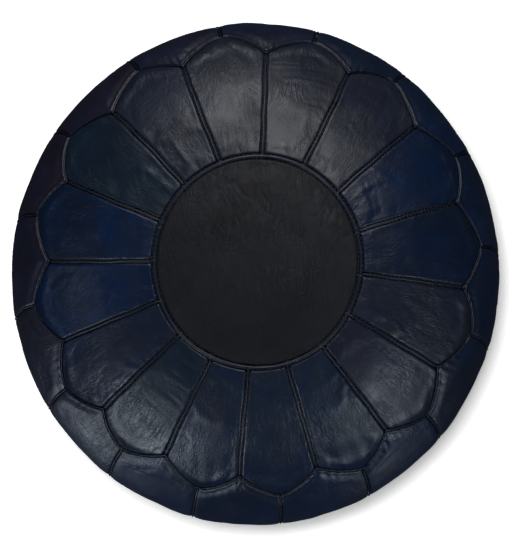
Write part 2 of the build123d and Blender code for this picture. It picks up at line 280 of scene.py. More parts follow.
def cover_piece(name, shape, material, node=None, dye=None, cut=None):
    """A piece that rides on the cover. Where it names a CAD node, it stands for it."""
    obj = make_object(name, *shape, dye, cut)
    obj.data.materials.append(material)
    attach(obj, "cover")
    if node:
        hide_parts(node)
    return obj


def numbers(rows, cols, start=0):
    """A grid of vertex numbers."""
    return np.arange(start, start + rows * cols).reshape(rows, cols)


def wrap(index):
    """The same grid with its first column again after its last."""
    return np.concatenate([index, index[:, :1]], axis=1)


def quads(index, flip=False):
    """Faces between the neighbours in a grid of vertex numbers."""
    a, b, c, d = index[:-1, :-1], index[:-1, 1:], index[1:, 1:], index[1:, :-1]
    return np.stack([a, d, c, b] if flip else [a, b, c, d], -1).reshape(-1, 4).tolist()


def fan(centre, row):
    """Triangles from one vertex to each two neighbours in a row."""
    return [[centre, a, b] for a, b in zip(row[:-1].tolist(), row[1:].tolist())]


def slab_points(outer, inner=None):
    """A value for each vertex of a slab, from a grid of values for its outer and its inner face."""
    few = (outer if inner is None else inner)[::COARSE, ::COARSE]
    return np.concatenate([outer.reshape(-1, 3), few.reshape(-1, 3)])


def slab(outer, inner):
    """Vertices and faces of a closed panel: a fine outer grid, a coarse inner one and a rim.

    outer and inner are grids of points [row, column], both counted in whole steps of COARSE.
    """
    index = numbers(*outer.shape[:2])
    low = numbers(*inner[::COARSE, ::COARSE].shape[:2], index.size)
    faces = quads(index) + quads(low, flip=True)
    borders = [(index[0], low[0]), (index[:, -1], low[:, -1])]
    borders += [(index[-1, ::-1], low[-1, ::-1]), (index[::-1, 0], low[::-1, 0])]
    for fine, coarse in borders:
        for k in range(len(coarse) - 1):
            part = fine[k * COARSE : (k + 1) * COARSE + 1]
            faces.append(coarse[k : k + 2].tolist() + part[::-1].tolist())
    return slab_points(outer, inner), faces


def tube(path, up, radius, sides=5, flat=1.0, closed=False):
    """A round strip along a path of points, with up the skin's normal there. Capped unless closed."""
    ahead = np.roll(path, -1, axis=0) - np.roll(path, 1, axis=0) if closed else np.gradient(path, axis=0)
    ahead = ahead / np.linalg.norm(ahead, axis=1, keepdims=True)
    side = np.cross(ahead, up)
    side /= np.linalg.norm(side, axis=1, keepdims=True)
    up = np.cross(side, ahead)
    turn = np.linspace(0, 2 * math.pi, sides, endpoint=False)[None, :, None]
    ring = side[:, None] * np.cos(turn) + up[:, None] * np.sin(turn) * flat
    verts = path[:, None] + ring * (radius * np.ones(len(path)))[:, None, None]
    index = numbers(len(path), sides)
    if closed:
        faces = quads(wrap(np.concatenate([index, index[:1]])))
    else:
        faces = quads(wrap(index)) + [index[0, ::-1].tolist(), index[-1].tolist()]
    return verts.reshape(-1, 3), faces


def join(pieces):
    """One (vertices, faces) from several."""
    verts, faces, start = [], [], 0
    for v, f in pieces:
        verts.append(v)
        faces += [[i + start for i in face] for face in f]
        start += len(v)
    return np.concatenate(verts), faces


# ---- leather panels ----
GAP = 1.55  # half of the groove that a petal's strip lies in
SIDE_GAP, SCALLOP_GAP, RING_GAP, BASE_GAP = 1.2, 0.95, 2.15, 2.0  # and the other seams'
THICK = 1.4
SIDE_PROUD = 2.4  # how far the tight sides and their seams stand out from the CAD skin
EDGE_STEPS = np.array([0.0, 0.25, 0.55, 0.95, 1.5, 2.3, 3.6, 5.6])
EDGES = ("left", "right", "start", "end")


def evenly(length, count):
    """Positions from 0 to length in even steps."""
    return length[..., None] * np.linspace(0, 1, count + 1)


def spread(length, count):
    """Positions from 0 to length: close together near both ends, and count even steps between."""
    edge = EDGE_STEPS[None] * np.ones_like(length)[..., None]
    middle = np.linspace(0, 1, count + 1)[1:-1]
    first = EDGE_STEPS[-1]
    inner = first + (length[..., None] - 2 * first) * middle
    return np.concatenate([edge, inner, length[..., None] - edge[..., ::-1]], axis=-1)


def roll_edge(d, depth=2.3, lip=0.3):
    """Height near a sewn edge: it turns down into the seam, with a slight lip beside it."""
    return -depth * np.exp(-((d / 0.8) ** 1.25)) + lip * np.exp(-(((d - 2.6) / 2.0) ** 2))


def panel_coords(n, kind, count_u, count_v, lay=spread):
    """Angles, distances along the skin, and distances to the four edges of a panel's grid points."""
    petal = kind == "petal"
    line, first, gap = (seam_line, n, GAP) if petal else (side_line, n - 1, SIDE_GAP)
    cols = len(lay(np.full(1, 50.0), count_u)[0])
    left, right = line(first, D_VALLEY), line(first + 1, D_VALLEY)
    angle = left + (right - left) * np.linspace(0, 1, cols)[None]
    for _ in range(4):
        # the panel's length depends on the angle, and its width on the distance, so settle both
        edge = scallop_dist(angle)
        if petal:
            start, end = np.full_like(edge, D_RING + RING_GAP), edge - SCALLOP_GAP
        else:
            start, end = edge + SCALLOP_GAP, np.full_like(edge, D_BASE - BASE_GAP)
        dist = start + np.transpose(lay((end - start)[0], count_v))
        left, right = line(first, dist), line(first + 1, dist)
        width = np.radians(right - left) * np.interp(dist, DIST, RADIUS)
        own = width - 2 * gap
        middle = own[:, cols // 2]
        share = lay(middle, count_u) / middle[:, None]
        angle = left + (right - left) * (gap + share * own) / width
    return {
        "angle": angle,
        "dist": dist,
        "left": share * own,
        "right": (1 - share) * own,
        "start": dist - start,
        "end": end - dist,
        "x": gap + share * own - width / 2,
        "share": share,
        "along": (dist - start) / (end - start),
    }


def nearest(g):
    """Distance to a panel's nearest edge."""
    return np.maximum(np.minimum.reduce([g[key] for key in EDGES]), 0)


SWELL_GRID = {"petal": (14, 22), "side": (14, 38)}  # steps across and along a panel in the simulation
SWELL_CAP = {"petal": 3.9, "side": 1.4}  # the swelling is scaled down to this, in millimetres
SWELL_FRAMES = 20
SWELL_SETTINGS = {
    "quality": 6,
    "mass": 0.3,
    "tension_stiffness": 30,
    "compression_stiffness": 30,
    "shear_stiffness": 12,
    "bending_stiffness": 0.5,
    "vertex_group_mass": "seams",
    "use_pressure": True,
    "uniform_pressure_force": 4.0,
    "shrink_min": -0.012,
}


def swell_panels():
    """How far the stuffing swells each panel, by a cloth simulation: every panel is cloth pinned along
    its seams and blown from inside. Gives a grid of heights for each (kind, number)."""
    points, normals, faces, pinned, shapes, start = [], [], [], [], {}, 0
    for kind, (across, along) in SWELL_GRID.items():
        for n in range(PETALS):
            g = panel_coords(n, kind, across, along, evenly)
            index = numbers(*g["dist"].shape, start)
            faces += quads(index)
            pinned += np.concatenate([index[0], index[-1], index[:, 0], index[:, -1]]).tolist()
            points.append(place(g["angle"], g["dist"], 0.0).reshape(-1, 3))
            normals.append(up_at(g["angle"], g["dist"]).reshape(-1, 3))
            shapes[kind, n] = (slice(start, start + index.size), index.shape)
            start += index.size
    rest = np.concatenate(points)
    obj = make_object("swelling", rest, faces)
    obj.vertex_groups.new(name="seams").add(sorted(set(pinned)), 1.0, "REPLACE")
    cloth = obj.modifiers.new("cloth", "CLOTH")
    cloth.point_cache.frame_start, cloth.point_cache.frame_end = 1, SWELL_FRAMES
    for key, value in SWELL_SETTINGS.items():
        setattr(cloth.settings, key, value)
    cloth.settings.effector_weights.gravity = 0.0
    for number in range(1, SWELL_FRAMES + 1):
        bpy.context.scene.frame_set(number)
    swollen = obj.evaluated_get(bpy.context.evaluated_depsgraph_get()).data
    after = np.empty(len(rest) * 3, np.float32)
    swollen.vertices.foreach_get("co", after)
    bpy.context.scene.frame_set(1)
    bpy.data.objects.remove(obj)
    lift = np.sum((after.reshape(-1, 3) / MM - rest) * np.concatenate(normals), axis=1)
    fields = {}
    for (kind, n), (part, shape) in shapes.items():
        field = np.maximum(lift[part].reshape(shape), 0.0)
        fields[kind, n] = field * min(1.0, SWELL_CAP[kind] / field.max())
    return fields


def sample(field, rows, cols):
    """Smooth values of a coarse grid between its points, at fractional rows and columns."""

    def weights(x, count):
        base = np.clip(np.floor(x).astype(int), 0, count - 2)
        f = x - base
        second, third = (3 * f**3 - 6 * f**2 + 4) / 6, (-3 * f**3 + 3 * f**2 + 3 * f + 1) / 6
        return base, ((1 - f) ** 3 / 6, second, third, f**3 / 6)

    row, row_weights = weights(rows, field.shape[0])
    col, col_weights = weights(cols, field.shape[1])
    total = np.zeros_like(rows)
    for i in range(4):
        for j in range(4):
            r = np.clip(row + i - 1, 0, field.shape[0] - 1)
            c = np.clip(col + j - 1, 0, field.shape[1] - 1)
            total += row_weights[i] * col_weights[j] * field[r, c]
    return total


def crown(kind, n, g, height, reaches):
    if swelling:
        field = swelling[kind, n]
        return sample(field, g["along"] * (field.shape[0] - 1), g["share"] * (field.shape[1] - 1))
    product = 1.0
    for key, reach in zip(EDGES, reaches):
        product = product * (1 - np.exp(-np.maximum(g[key], 0) / reach))
    return height * product


def wrinkles(x, y, turn, long, fine, seed, amount):
    """Shallow folds that run one way: x and y in millimetres on the panel."""
    c, s = math.cos(turn), math.sin(turn)
    p = point((x * c + y * s) / long, (-x * s + y * c) / fine, seed * 0.37)
    p[..., 1] += 0.7 * noise(p * 0.6 + 11.3, seed + 5)
    fold = 1 - np.abs(noise(p, seed))
    where = smooth(-0.15, 0.6, noise(point(x / 34, y / 34, seed), seed + 9))
    return -amount * smooth(0.62, 1.0, fold) * where


def beside(d, start, full, reach):
    """Strength of a gather d millimetres from a seam: nothing at start, the most at full, then fading."""
    return smooth(start, full, d) * np.exp(-d / reach)


petal_look = [dict(turn=rng.uniform(0, math.pi), seed=int(rng.integers(1, 9999))) for _ in range(PETALS)]
side_look = [dict(turn=rng.uniform(-0.4, 0.4), seed=int(rng.integers(1, 9999))) for _ in range(PETALS)]


def petal_height(n, g):
    """Heights of a petal over the CAD skin: its rolled edges, swelling, folds and gathers."""
    x, y = g["x"], g["dist"] - D_RING
    turn, seed = petal_look[n].values()
    p = point(x, y, seed)
    edge = {key: np.maximum(g[key], 0) for key in EDGES}
    h = np.maximum(sum(roll_edge(d) for d in edge.values()), -2.6)
    h += crown("petal", n, g, 3.2, (9, 9, 12, 11))
    away = smooth(1.0, 9.0, nearest(g))
    h += away * 0.55 * clouds(p, 44.0, seed, 2)
    h += away * 0.17 * clouds(p, 15.0, seed + 3)
    h += away * wrinkles(x, y, turn, 30, 6.5, seed + 1, 0.38)
    h += away * wrinkles(x, y, turn + 0.9, 18, 4.2, seed + 2, 0.22)
    # small gathers where the leather is drawn into the seams
    patch = smooth(-0.2, 0.5, noise(p / 22, seed + 8))
    for key, phase in (("left", 0.0), ("right", 2.0)):
        gather = np.sin(y * 0.75 + phase + 2.2 * noise(p / 13, seed + 7))
        h += 0.28 * gather * beside(edge[key], 0.8, 2.5, 4.5) * patch
    gather = np.sin(x * 0.8 + 2.0 * noise(p / 11, seed + 12))
    h += 0.4 * gather * beside(edge["end"], 0.8, 2.5, 6.0)
    # broad soft folds that run in from the outer edge
    fold = np.sin(x * 0.34 + 2.2 * noise(p / 26, seed + 21)) * smooth(-0.3, 0.4, noise(p / 30, seed + 22))
    return h + 0.5 * fold * away * np.exp(-edge["end"] / 24)


def side_height(n, g):
    """The same for a side panel."""
    x, y = g["x"], g["dist"] - D_VALLEY
    turn, seed = side_look[n].values()
    p = point(x, y, seed)
    edge = {key: np.maximum(g[key], 0) for key in EDGES}
    h = sum(roll_edge(d, *((1.9, 0.8) if key == "start" else (0.8, 0.0))) for key, d in edge.items())
    proud = SIDE_PROUD * smooth(0.0, 16.0, np.minimum(g["start"], g["end"]))
    h = np.maximum(h, -2.0) + proud + crown("side", n, g, 1.6, (10, 10, 14, 14))
    away = smooth(1.0, 10.0, nearest(g))
    h += away * 0.4 * clouds(p * np.array([1, 0.6, 1]), 52.0, seed, 2)
    h += away * 0.25 * clouds(p, 17.0, seed + 3)
    h += away * wrinkles(x, y, turn, 40, 8, seed + 1, 0.6)
    # gathers below the scalloped seam, strongest beside the valley in the panel's middle
    wave = np.sin(x * 0.82 + 1.8 * noise(p / 10, seed + 12)) + 0.4 * np.sin(x * 1.7 + 1.0)
    strength = 0.35 + 0.95 * np.exp(-((x / 17.0) ** 2))
    patch = smooth(-0.5, 0.4, noise(point(x / 19, y / 60, seed), seed + 14))
    h += 0.8 * wave * strength * patch * beside(edge["start"], 0.6, 2.6, 8.5)
    # the same, finer, along the base
    wave = np.sin(x * 0.62 + 2.4 * noise(p / 14, seed + 17))
    return h + 0.9 * wave * beside(edge["end"], 0.8, 4.0, 13.0)


# ---- dye, with painted shade in the seams ----
NAVY = np.array([0.0020, 0.0052, 0.0160])
BLUE = np.array([0.0005, 0.0066, 0.0285])
GREY = np.array([0.0100, 0.0112, 0.0155])
TEAL = np.array([0.0034, 0.0105, 0.0180])
PLUM = np.array([0.0085, 0.0060, 0.0125])
WARM_BLACK = np.array([0.0095, 0.0088, 0.0088])
BLACK = np.array([0.0062, 0.0066, 0.0092])
# how much blue, grey, teal and plum each petal has over its navy, round from the +X seam. The grey, most on
# the petals round +Y that face the key lights, is partly the leather's own tone and partly painted sheen.
PETAL_DYE_AND_SHEEN = [
    *((0.25, 0.0, 0.1, 0.0), (0.6, 0.0, 0.1, 0.0), (0.2, 0.8, 0.0, 0.1), (0.0, 0.8, 0.0, 0.1)),
    *((0.1, 0.55, 0.0, 0.1), (0.1, 0.35, 0.1, 0.1), (0.05, 0.15, 0.7, 0.0), (0.8, 0.0, 0.2, 0.0)),
    *((1.0, 0.0, 0.1, 0.0), (0.75, 0.15, 0.0, 0.2), (0.2, 0.1, 0.6, 0.0), (0.6, 0.2, 0.2, 0.0)),
    *((0.5, 0.3, 0.3, 0.0), (0.6, 0.2, 0.3, 0.0), (0.35, 0.3, 0.0, 0.2), (0.25, 0.6, 0.0, 0.0)),
]


def dye_with_painted_light(shares, p, near, seed):
    """Uneven hand-brushed dye: a panel's own mix and cloudy, where a petal's grey share is partly painted
    sheen. It is darker in the seams: partly antiqued dye, partly painted shade in the grooves.
    """
    colour = NAVY * np.ones(p.shape[:-1] + (1,))
    for k, (share, tint) in enumerate(zip(shares, (BLUE, GREY, TEAL, PLUM))):
        patch = np.clip(share * (0.75 + 0.75 * clouds(p, 48.0, seed + 60 + k)), 0, 1)[..., None]
        colour = colour * (1 - patch) + tint * patch
    cloud = 1 + 0.38 * clouds(p, 30.0, seed + 70)
    streak = 1 + 0.16 * clouds(p * np.array([1.0, 0.25, 1.0]), 7.0, seed + 80)
    # painted shade: the colour falls to 0.15 in the seams' grooves, over dye that is antiqued there
    seam = 0.15 + 0.85 * smooth(0.1, 1.9, near)
    return np.clip(colour * (cloud * streak * seam)[..., None], 0.001, 1)


def inner_height(height):
    """Height of a panel's hidden inner face."""
    return np.minimum(height, 0.0) * 0.5 - THICK - 0.9


def panel_object(name, node, slot, g, height, shares, seed):
    """Builds a closed leather panel from its grid, and lets it stand for its CAD node."""
    outer = place(g["angle"], g["dist"], height)
    inner = place(g["angle"], g["dist"], inner_height(height))
    x, y = g["x"], g["dist"] - D_RING
    # these colours carry painted shade at the seams
    dye = slab_points(dye_with_painted_light(shares, point(x, y, seed * 0.917), nearest(g), seed))
    cut = slab_points(point(x * MM, y * MM, (seed % 97) * 0.31))
    cover_piece(name, slab(outer, inner), leather, node, dye, cut)


# ---- materials ----
class Nodes:
    """A short way to wire a material's nodes."""

    def __init__(self, name):
        self.material = bpy.data.materials.new(name)
        self.material.use_nodes = True
        self.tree = self.material.node_tree
        self.tree.nodes.clear()
        self.out = self.tree.nodes.new("ShaderNodeOutputMaterial")
        self.shader = self.add("ShaderNodeBsdfPrincipled")
        self.tree.links.new(self.shader.outputs[0], self.out.inputs[0])

    def add(self, kind, sockets=None, **settings):
        node = self.tree.nodes.new(kind)
        for key, value in settings.items():
            setattr(node, key, value)
        for key, value in (sockets or {}).items():
            self.put(node, key, value)
        return node

    def put(self, node, key, value):
        if isinstance(value, bpy.types.NodeSocket):
            self.tree.links.new(value, node.inputs[key])
        else:
            node.inputs[key].default_value = value

    def math(self, operation, a, b=0.0):
        return self.add("ShaderNodeMath", {0: a, 1: b}, operation=operation).outputs[0]

    def place(self):
        """The object's own coordinates, in metres."""
        return self.add("ShaderNodeTexCoord").outputs["Object"]

    def noise(self, where, scale, detail=3.0, rough=0.5, distortion=0.0, output="Fac"):
        sockets = {"Vector": where, "Scale": scale, "Detail": detail, "Roughness": rough}
        sockets["Distortion"] = distortion
        return self.add("ShaderNodeTexNoise", sockets).outputs[output]

    def cells(self, where, scale, feature):
        sockets = {"Vector": where, "Scale": scale}
        return self.add("ShaderNodeTexVoronoi", sockets, feature=feature).outputs["Distance"]

    def fit(self, value, low, high, to_low=0.0, to_high=1.0):
        sockets = {"Value": value, "From Min": low, "From Max": high, "To Min": to_low, "To Max": to_high}
        return self.add("ShaderNodeMapRange", sockets, clamp=True).outputs[0]

    def mix(self, share, low, high):
        sockets = {0: share, 6: (*low, 1), 7: (*high, 1)}
        return self.add("ShaderNodeMix", sockets, data_type="RGBA").outputs[2]

    def stretch(self, where, scale, turn=0.0):
        sockets = {"Vector": where, "Scale": scale, "Rotation": (0, 0, turn)}
        return self.add("ShaderNodeMapping", sockets).outputs[0]

    def bend(self, where, scale=60.0, reach=0.004):
        """The place where, pushed about by noise, so that straight patterns wander."""
        sockets = {0: self.noise(where, scale, output="Color"), 1: (reach, reach, reach), 2: where}
        return self.add("ShaderNodeVectorMath", sockets, operation="MULTIPLY_ADD").outputs[0]

    def tint(self, colour, amount):
        """colour times a grey amount."""
        return self.add("ShaderNodeVectorMath", {0: colour, "Scale": amount}, operation="SCALE").outputs[0]

    def bump(self, height, distance, strength, normal=None):
        sockets = {"Height": height, "Distance": distance, "Strength": strength}
        if normal is not None:
            sockets["Normal"] = normal
        return self.add("ShaderNodeBump", sockets).outputs[0]

    def surface(self, sockets):
        """Fills in the shader's own sockets, and gives the material."""
        for key, value in sockets.items():
            self.put(self.shader, key, value)
        return self.material


def leather_material(name, rough, crease, grain, gloss=0.25):
    """Hand-dyed leather: fine pebbled grain, a net of small creases with painted shade in them, scuffs and
    uneven polish.
    """
    k = Nodes(name)
    cut = k.add("ShaderNodeAttribute", attribute_name="cut").outputs["Vector"]
    # the points' colours: dye, with painted shade in the seams and round the medallion's rim, and painted
    # sheen in the petals' grey
    dye = k.add("ShaderNodeAttribute", attribute_name="dye").outputs["Color"]
    pebble = k.cells(cut, 760.0, "SMOOTH_F1")
    pores = k.noise(cut, 1500.0, 2.0, 0.6)
    # creases: the edges of long, thin cells that lie across each other
    nets = []
    for thin, turn, width in ((0.26, 0.7, 0.1), (0.3, -0.45, 0.09), (0.8, 0.1, 0.05)):
        gap = k.cells(k.stretch(k.bend(cut), (1, thin, 1), turn), 165.0, "DISTANCE_TO_EDGE")
        nets.append(k.fit(gap, 0.0, width, 1.0, 0.0))
    net = k.math("MAXIMUM", k.math("MAXIMUM", nets[0], nets[1]), k.math("MULTIPLY", nets[2], 0.6))
    net = k.math("MULTIPLY", net, k.fit(k.noise(cut, 26.0, 3.0, 0.6), 0.34, 0.74))
    scuff = k.fit(k.noise(k.stretch(cut, (3.2, 0.5, 1), 0.9), 120.0, 5.0, 0.7, 0.4), 0.6, 0.72)
    scuff = k.math("MULTIPLY", scuff, k.fit(k.noise(cut, 34.0, 2.0), 0.5, 0.66))
    polish = k.noise(cut, 30.0, 4.0, 0.6)
    shade = k.math("ADD", k.fit(polish, 0.3, 0.7, 0.82, 1.2), k.math("MULTIPLY", scuff, 0.9))
    # painted shade: the creases are darkened in the colour as well as in the bump
    shade = k.math("SUBTRACT", shade, k.math("MULTIPLY", net, 0.42))
    dull = k.fit(polish, 0.3, 0.7, rough + 0.08, rough - 0.07)
    soft = k.bump(k.noise(cut, 60.0, 4.0, 0.55), 0.0016, 0.35)
    lined = k.bump(k.math("SUBTRACT", 1.0, net), 0.0004, crease, soft)
    fine = k.bump(k.math("ADD", pebble, k.math("MULTIPLY", pores, 0.5)), 0.0003, grain, lined)
    return k.surface(
        {
            "Base Color": k.tint(dye, shade),
            "Roughness": k.math("ADD", dull, k.math("MULTIPLY", net, 0.12)),
            "Normal": fine,
            "Specular IOR Level": gloss,
        }
    )


leather = leather_material("hand_dyed_leather", 0.39, 0.5, 0.34, 0.23)
matte_leather = leather_material("matte_leather", 0.54, 1.0, 0.4, 0.13)
strip_leather = leather_material("rolled_leather_strip", 0.38, 0.3, 0.25)

# ---- petals and side panels ----
swelling = swell_panels()
petal_count = ((38, 74))
side_count = ((38, 118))
for n in range(PETALS):
    g = panel_coords(n, "petal", *petal_count)
    names = (f"petal_skin_{n + 1:02d}", f"petal_{n + 1:02d}", "petal_leather")
    panel_object(*names, g, petal_height(n, g), PETAL_DYE_AND_SHEEN[n], petal_look[n]["seed"])
for n in range(PETALS):
    g = panel_coords(n, "side", *side_count)
    toward_left = math.cos(math.radians(n * STEP - 160))
    shares = (0.25 + 0.1 * (n % 3), 0.15 + 0.1 * (n % 2), 0.1, max(0.0, toward_left) * 0.8)
    names = (f"side_skin_{n + 1:02d}", f"side_panel_{n + 1:02d}", "side_leather")
    panel_object(*names, g, side_height(n, g), shares, side_look[n]["seed"])

# ---- medallion ----
def disc_points(outer, inner=None):
    """A value for each vertex of a disc, from a grid of values for its outer and its inner face."""
    inner = outer if inner is None else inner
    few = inner[COARSE::COARSE, ::COARSE]
    return np.concatenate([outer[0, :1], outer[1:].reshape(-1, 3), inner[0, :1], few.reshape(-1, 3)])


def disc(outer, inner):
    """A closed round panel. outer and inner are grids [ring, column], the first ring shrunk to a point."""
    rings, cols = outer.shape[:2]
    index = wrap(numbers(rings - 1, cols, 1))
    centre = 1 + (rings - 1) * cols
    low = wrap(numbers(*inner[COARSE::COARSE, ::COARSE].shape[:2], centre + 1))
    faces = fan(0, index[0]) + quads(index, flip=True) + fan(centre, low[0, ::-1]) + quads(low)
    for k in range(cols // COARSE):
        part = index[-1, k * COARSE : (k + 1) * COARSE + 1]
        faces.append(part[::-1].tolist() + low[-1, k : k + 2].tolist())
    return disc_points(outer, inner), faces


def build_medallion():
    """The flat round top: matt, black, with wrinkles in its upper half and painted shade round its rim."""
    cols, steps = ((256, 81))
    edge = D_RING - RING_GAP
    dist = np.concatenate([np.linspace(0, edge - EDGE_STEPS[-1], steps), (edge - EDGE_STEPS[::-1])[1:]])
    dist = dist[(len(dist) - 1) % COARSE :]
    dist[0] = 0.0
    dist, angle = np.meshgrid(dist, np.linspace(0, 360, cols, endpoint=False), indexing="ij")
    x, y = dist * np.cos(np.radians(angle)), dist * np.sin(np.radians(angle))
    d = edge - dist
    p = point(x, y, 3.3)
    away = smooth(1.0, 10.0, d)
    h = roll_edge(d, depth=2.2) + 0.8 * (1 - np.exp(-d / 10))
    h += away * (0.75 * clouds(p, 50.0, 501) + 0.2 * clouds(p, 14.0, 502))
    h += away * wrinkles(x, y, 0.9, 60, 9, 503, 0.35)
    upper = smooth(10, 75, y)
    h += away * upper * wrinkles(x, y, 1.15, 26, 4.6, 504, 0.8)
    h += away * upper * wrinkles(x, y, 2.2, 24, 5.0, 505, 0.6)
    shape = disc(place(angle, dist, h), place(angle, dist, inner_height(h)))
    colour = BLACK * (1 + 0.4 * clouds(p, 38.0, 511) + 0.2 * clouds(p, 9.0, 512))[..., None]
    # painted shade: the disc darkens towards its rim, where it rolls down into the ring's groove
    colour = colour * (0.5 + 0.5 * smooth(0.5, 5, d))[..., None]
    warm = 0.3 * smooth(0.0, 0.8, clouds(p, 60.0, 513))[..., None]
    dye, cut = disc_points(colour * (1 - warm) + warm * WARM_BLACK), disc_points(p * MM)
    cover_piece("medallion_skin", shape, matte_leather, "medallion", dye, cut)


build_medallion()


# ---- strips in the seams ----
def strip_swell(count, pitch_steps, seed):
    """How a rolled strip thickens between its stitches and wanders along its length."""
    i = np.arange(count)
    wander = noise(point(i / 14.0, seed * 1.7, 0.0), seed)
    return 1 + 0.05 * np.abs(np.sin(math.pi * i / pitch_steps)) + 0.06 * wander


def strip_object(name, node, tubes, tone):
    """Rolled strips, dyed navy and a tone darker or lighter, that stand for their CAD node."""
    verts, faces = join(tubes)
    shade = (1 + 0.35 * clouds(verts, 16.0, 701)) * tone
    dye = NAVY * 0.95 * shade[:, None]
    cover_piece(name, (verts, faces), strip_leather, node, dye, verts * MM)


def along_skin(angle, dist, height, radius, seed, pitch_steps=4, closed=False):
    """A rolled strip on the skin, which thins at its ends."""
    count = len(dist)
    swell = strip_swell(count, pitch_steps, seed)
    if not closed:
        from_end = np.minimum(np.arange(count), np.arange(count)[::-1])
        swell = swell * np.minimum(1, 0.45 + 0.3 * from_end)
    return tube(place(angle, dist, height), up_at(angle, dist), radius * swell, 10, 0.9, closed)


def allowance(angle, dist, closed=False):
    """The turned-in edges of the leather below a seam, which close it from inside."""
    return tube(place(angle, dist, -3.0), up_at(angle, dist), 4.6, 8, 0.13, closed)


def build_strips():
    """The rings round the medallion, the rosette and the base, and the strips between panels."""
    turns = np.linspace(0, 360, 640, endpoint=False)
    dist = D_RING + 0.35 * np.sin(np.radians(turns) * 5 + 1.0)
    ring = [along_skin(turns, dist, 0.1, 1.8, 11, closed=True), allowance(turns, dist, True)]
    strip_object("medallion_ring", "medallion_piping", ring, 0.8)

    welts = []
    for n in range(PETALS):
        dist = np.linspace(D_RING + 2.6, dist_at(valley_r[n]) - 0.6, 110)
        angle = seam_line(n, dist)
        welts += [along_skin(angle, dist, -0.35, 1.2, 20 + n), allowance(angle, dist)]
    strip_object("petal_strips", "petal_welts", welts, 0.9)

    valleys = [seam_angle(n) % 360 for n in range(PETALS)]
    turns = np.sort(np.concatenate([np.linspace(0, 360, 1100, endpoint=False), valleys]))
    dist = scallop_dist(turns)
    ring = [along_skin(turns, dist + 0.35, -0.35, 0.85, 61, 5, True), allowance(turns, dist, True)]
    strip_object("scallop_strip", "scallop_piping", ring, 0.7)

    welts = []
    for n in range(PETALS):
        dist = np.linspace(dist_at(tip_r[n]) + 1.8, D_BASE - 2.2, 210)
        angle = side_line(n, dist)
        height = -0.45 + (SIDE_PROUD + 0.3) * smooth(0, 16, np.minimum(dist - dist[0], dist[-1] - dist))
        welts += [along_skin(angle, dist, height, 0.95, 80 + n), allowance(angle, dist)]
    strip_object("side_strips", "side_welts", welts, 0.8)

    turns = np.linspace(0, 360, 700, endpoint=False)
    ring = [along_skin(turns, np.full(700, D_BASE), -0.1, 2.1, 99, closed=True)]
    strip_object("base_ring", "base_piping", ring, 0.8)


build_strips()


# ---- stitches ----
STITCH_ARCH = np.array([-1.2, 0.4, 0.9, 0.4, -1.2])  # heights of a stitch, in 1.6 times its thickness
TOP_THREAD, SIDE_THREAD = 0.28, 0.26
PITCH, RING_PITCH, SIDE_PITCH = 4.4, 4.6, 4.8
SCALLOP_LENGTH = 1560.0  # about the length of the scalloped seam


def stitch_row(route, count, lift, thread, cross, skip, seed):
    """Short threads along a route, which gives angles and distances from t, 0 to 1, and an offset in mm."""
    own = np.random.default_rng(seed)
    pieces = []
    for k in range(count):
        if own.random() < skip:
            continue
        t = np.linspace((k + 0.2) / count, (k + 0.8) / count, 5)
        side = np.linspace(-cross, cross, 5) + own.uniform(-0.12, 0.12)
        angle, dist = route(t, side)
        path = place(angle, dist, lift + thread * 1.6 * STITCH_ARCH)
        pieces.append(tube(path, up_at(angle, dist), thread))
    return pieces


def groove_rows(line, n, start, end, gap, pitch, thread, seed):
    """Stitches on both sides of the groove along line n."""
    pieces = []
    for offset in (-gap - 0.25, gap + 0.25):

        def route(t, side, offset=offset):
            dist = start + (end - start) * t
            return line(n, dist) + np.degrees((offset + side) / np.interp(dist, DIST, RADIUS)), dist

        pieces += stitch_row(route, max(2, int((end - start) / pitch)), -0.95, thread, 0.25, 0.02, seed)
    return pieces


def ring_row(offset, seed):
    """Stitches beside the medallion's ring."""

    def route(t, side):
        return 360 * t, D_RING + offset + side

    count = int(2 * math.pi * np.interp(D_RING, DIST, RADIUS) / RING_PITCH)
    return stitch_row(route, count, -0.9, TOP_THREAD, 0.2, 0.02, seed)


def scallop_row():
    """Stitches below the scalloped seam."""

    def route(t, side):
        return 360 * t, scallop_dist(360 * t) + (SCALLOP_GAP + 0.55) + side

    return stitch_row(route, int(SCALLOP_LENGTH / PITCH), -0.75, SIDE_THREAD, 0.1, 0.03, 941)


def tie(angle, width, lean):
    """A small thread tied across the medallion's ring."""
    t = np.linspace(-1, 1, 9)
    dist = D_RING + t * width
    a = angle + lean * t
    height = 2.45 * np.sqrt(np.clip(1 - (t * 0.93) ** 2, 0, 1)) - 0.1
    return tube(place(a, dist, height), up_at(a, dist), 0.3)


top_threads, side_threads = [], []
for n in range(PETALS):
    end = dist_at(valley_r[n]) - 3.0
    top_threads += groove_rows(seam_line, n, D_RING + 4.5, end, GAP, PITCH, TOP_THREAD, 900 + n)
    start = dist_at(tip_r[n]) + 4
    side_threads += groove_rows(side_line, n, start, D_BASE - 5, SIDE_GAP, SIDE_PITCH, SIDE_THREAD, 960 + n)
top_threads += ring_row(-RING_GAP - 0.3, 931) + ring_row(RING_GAP + 0.3, 932)
for n in range(PETALS):
    top_threads.append(tie(seam_angle(n) + rng.uniform(-1, 1), 2.6, rng.uniform(-0.3, 0.3)))
    if n % 3 == 1:
        top_threads.append(tie(seam_angle(n) + rng.uniform(2, 8), 2.5, 0.4))
top_threads += scallop_row()


def thread_material():
    k = Nodes("waxed_thread")
    twist = k.noise(k.place(), 2600.0, 2.0)
    colour = k.mix(twist, (0.012, 0.014, 0.022), (0.05, 0.052, 0.062))
    return k.surface({"Base Color": colour, "Roughness": 0.6, "Normal": k.bump(twist, 0.0002, 0.5)})


thread = thread_material()
cover_piece("top_stitches", join(top_threads), thread)
cover_piece("side_stitches", join(side_threads), thread)


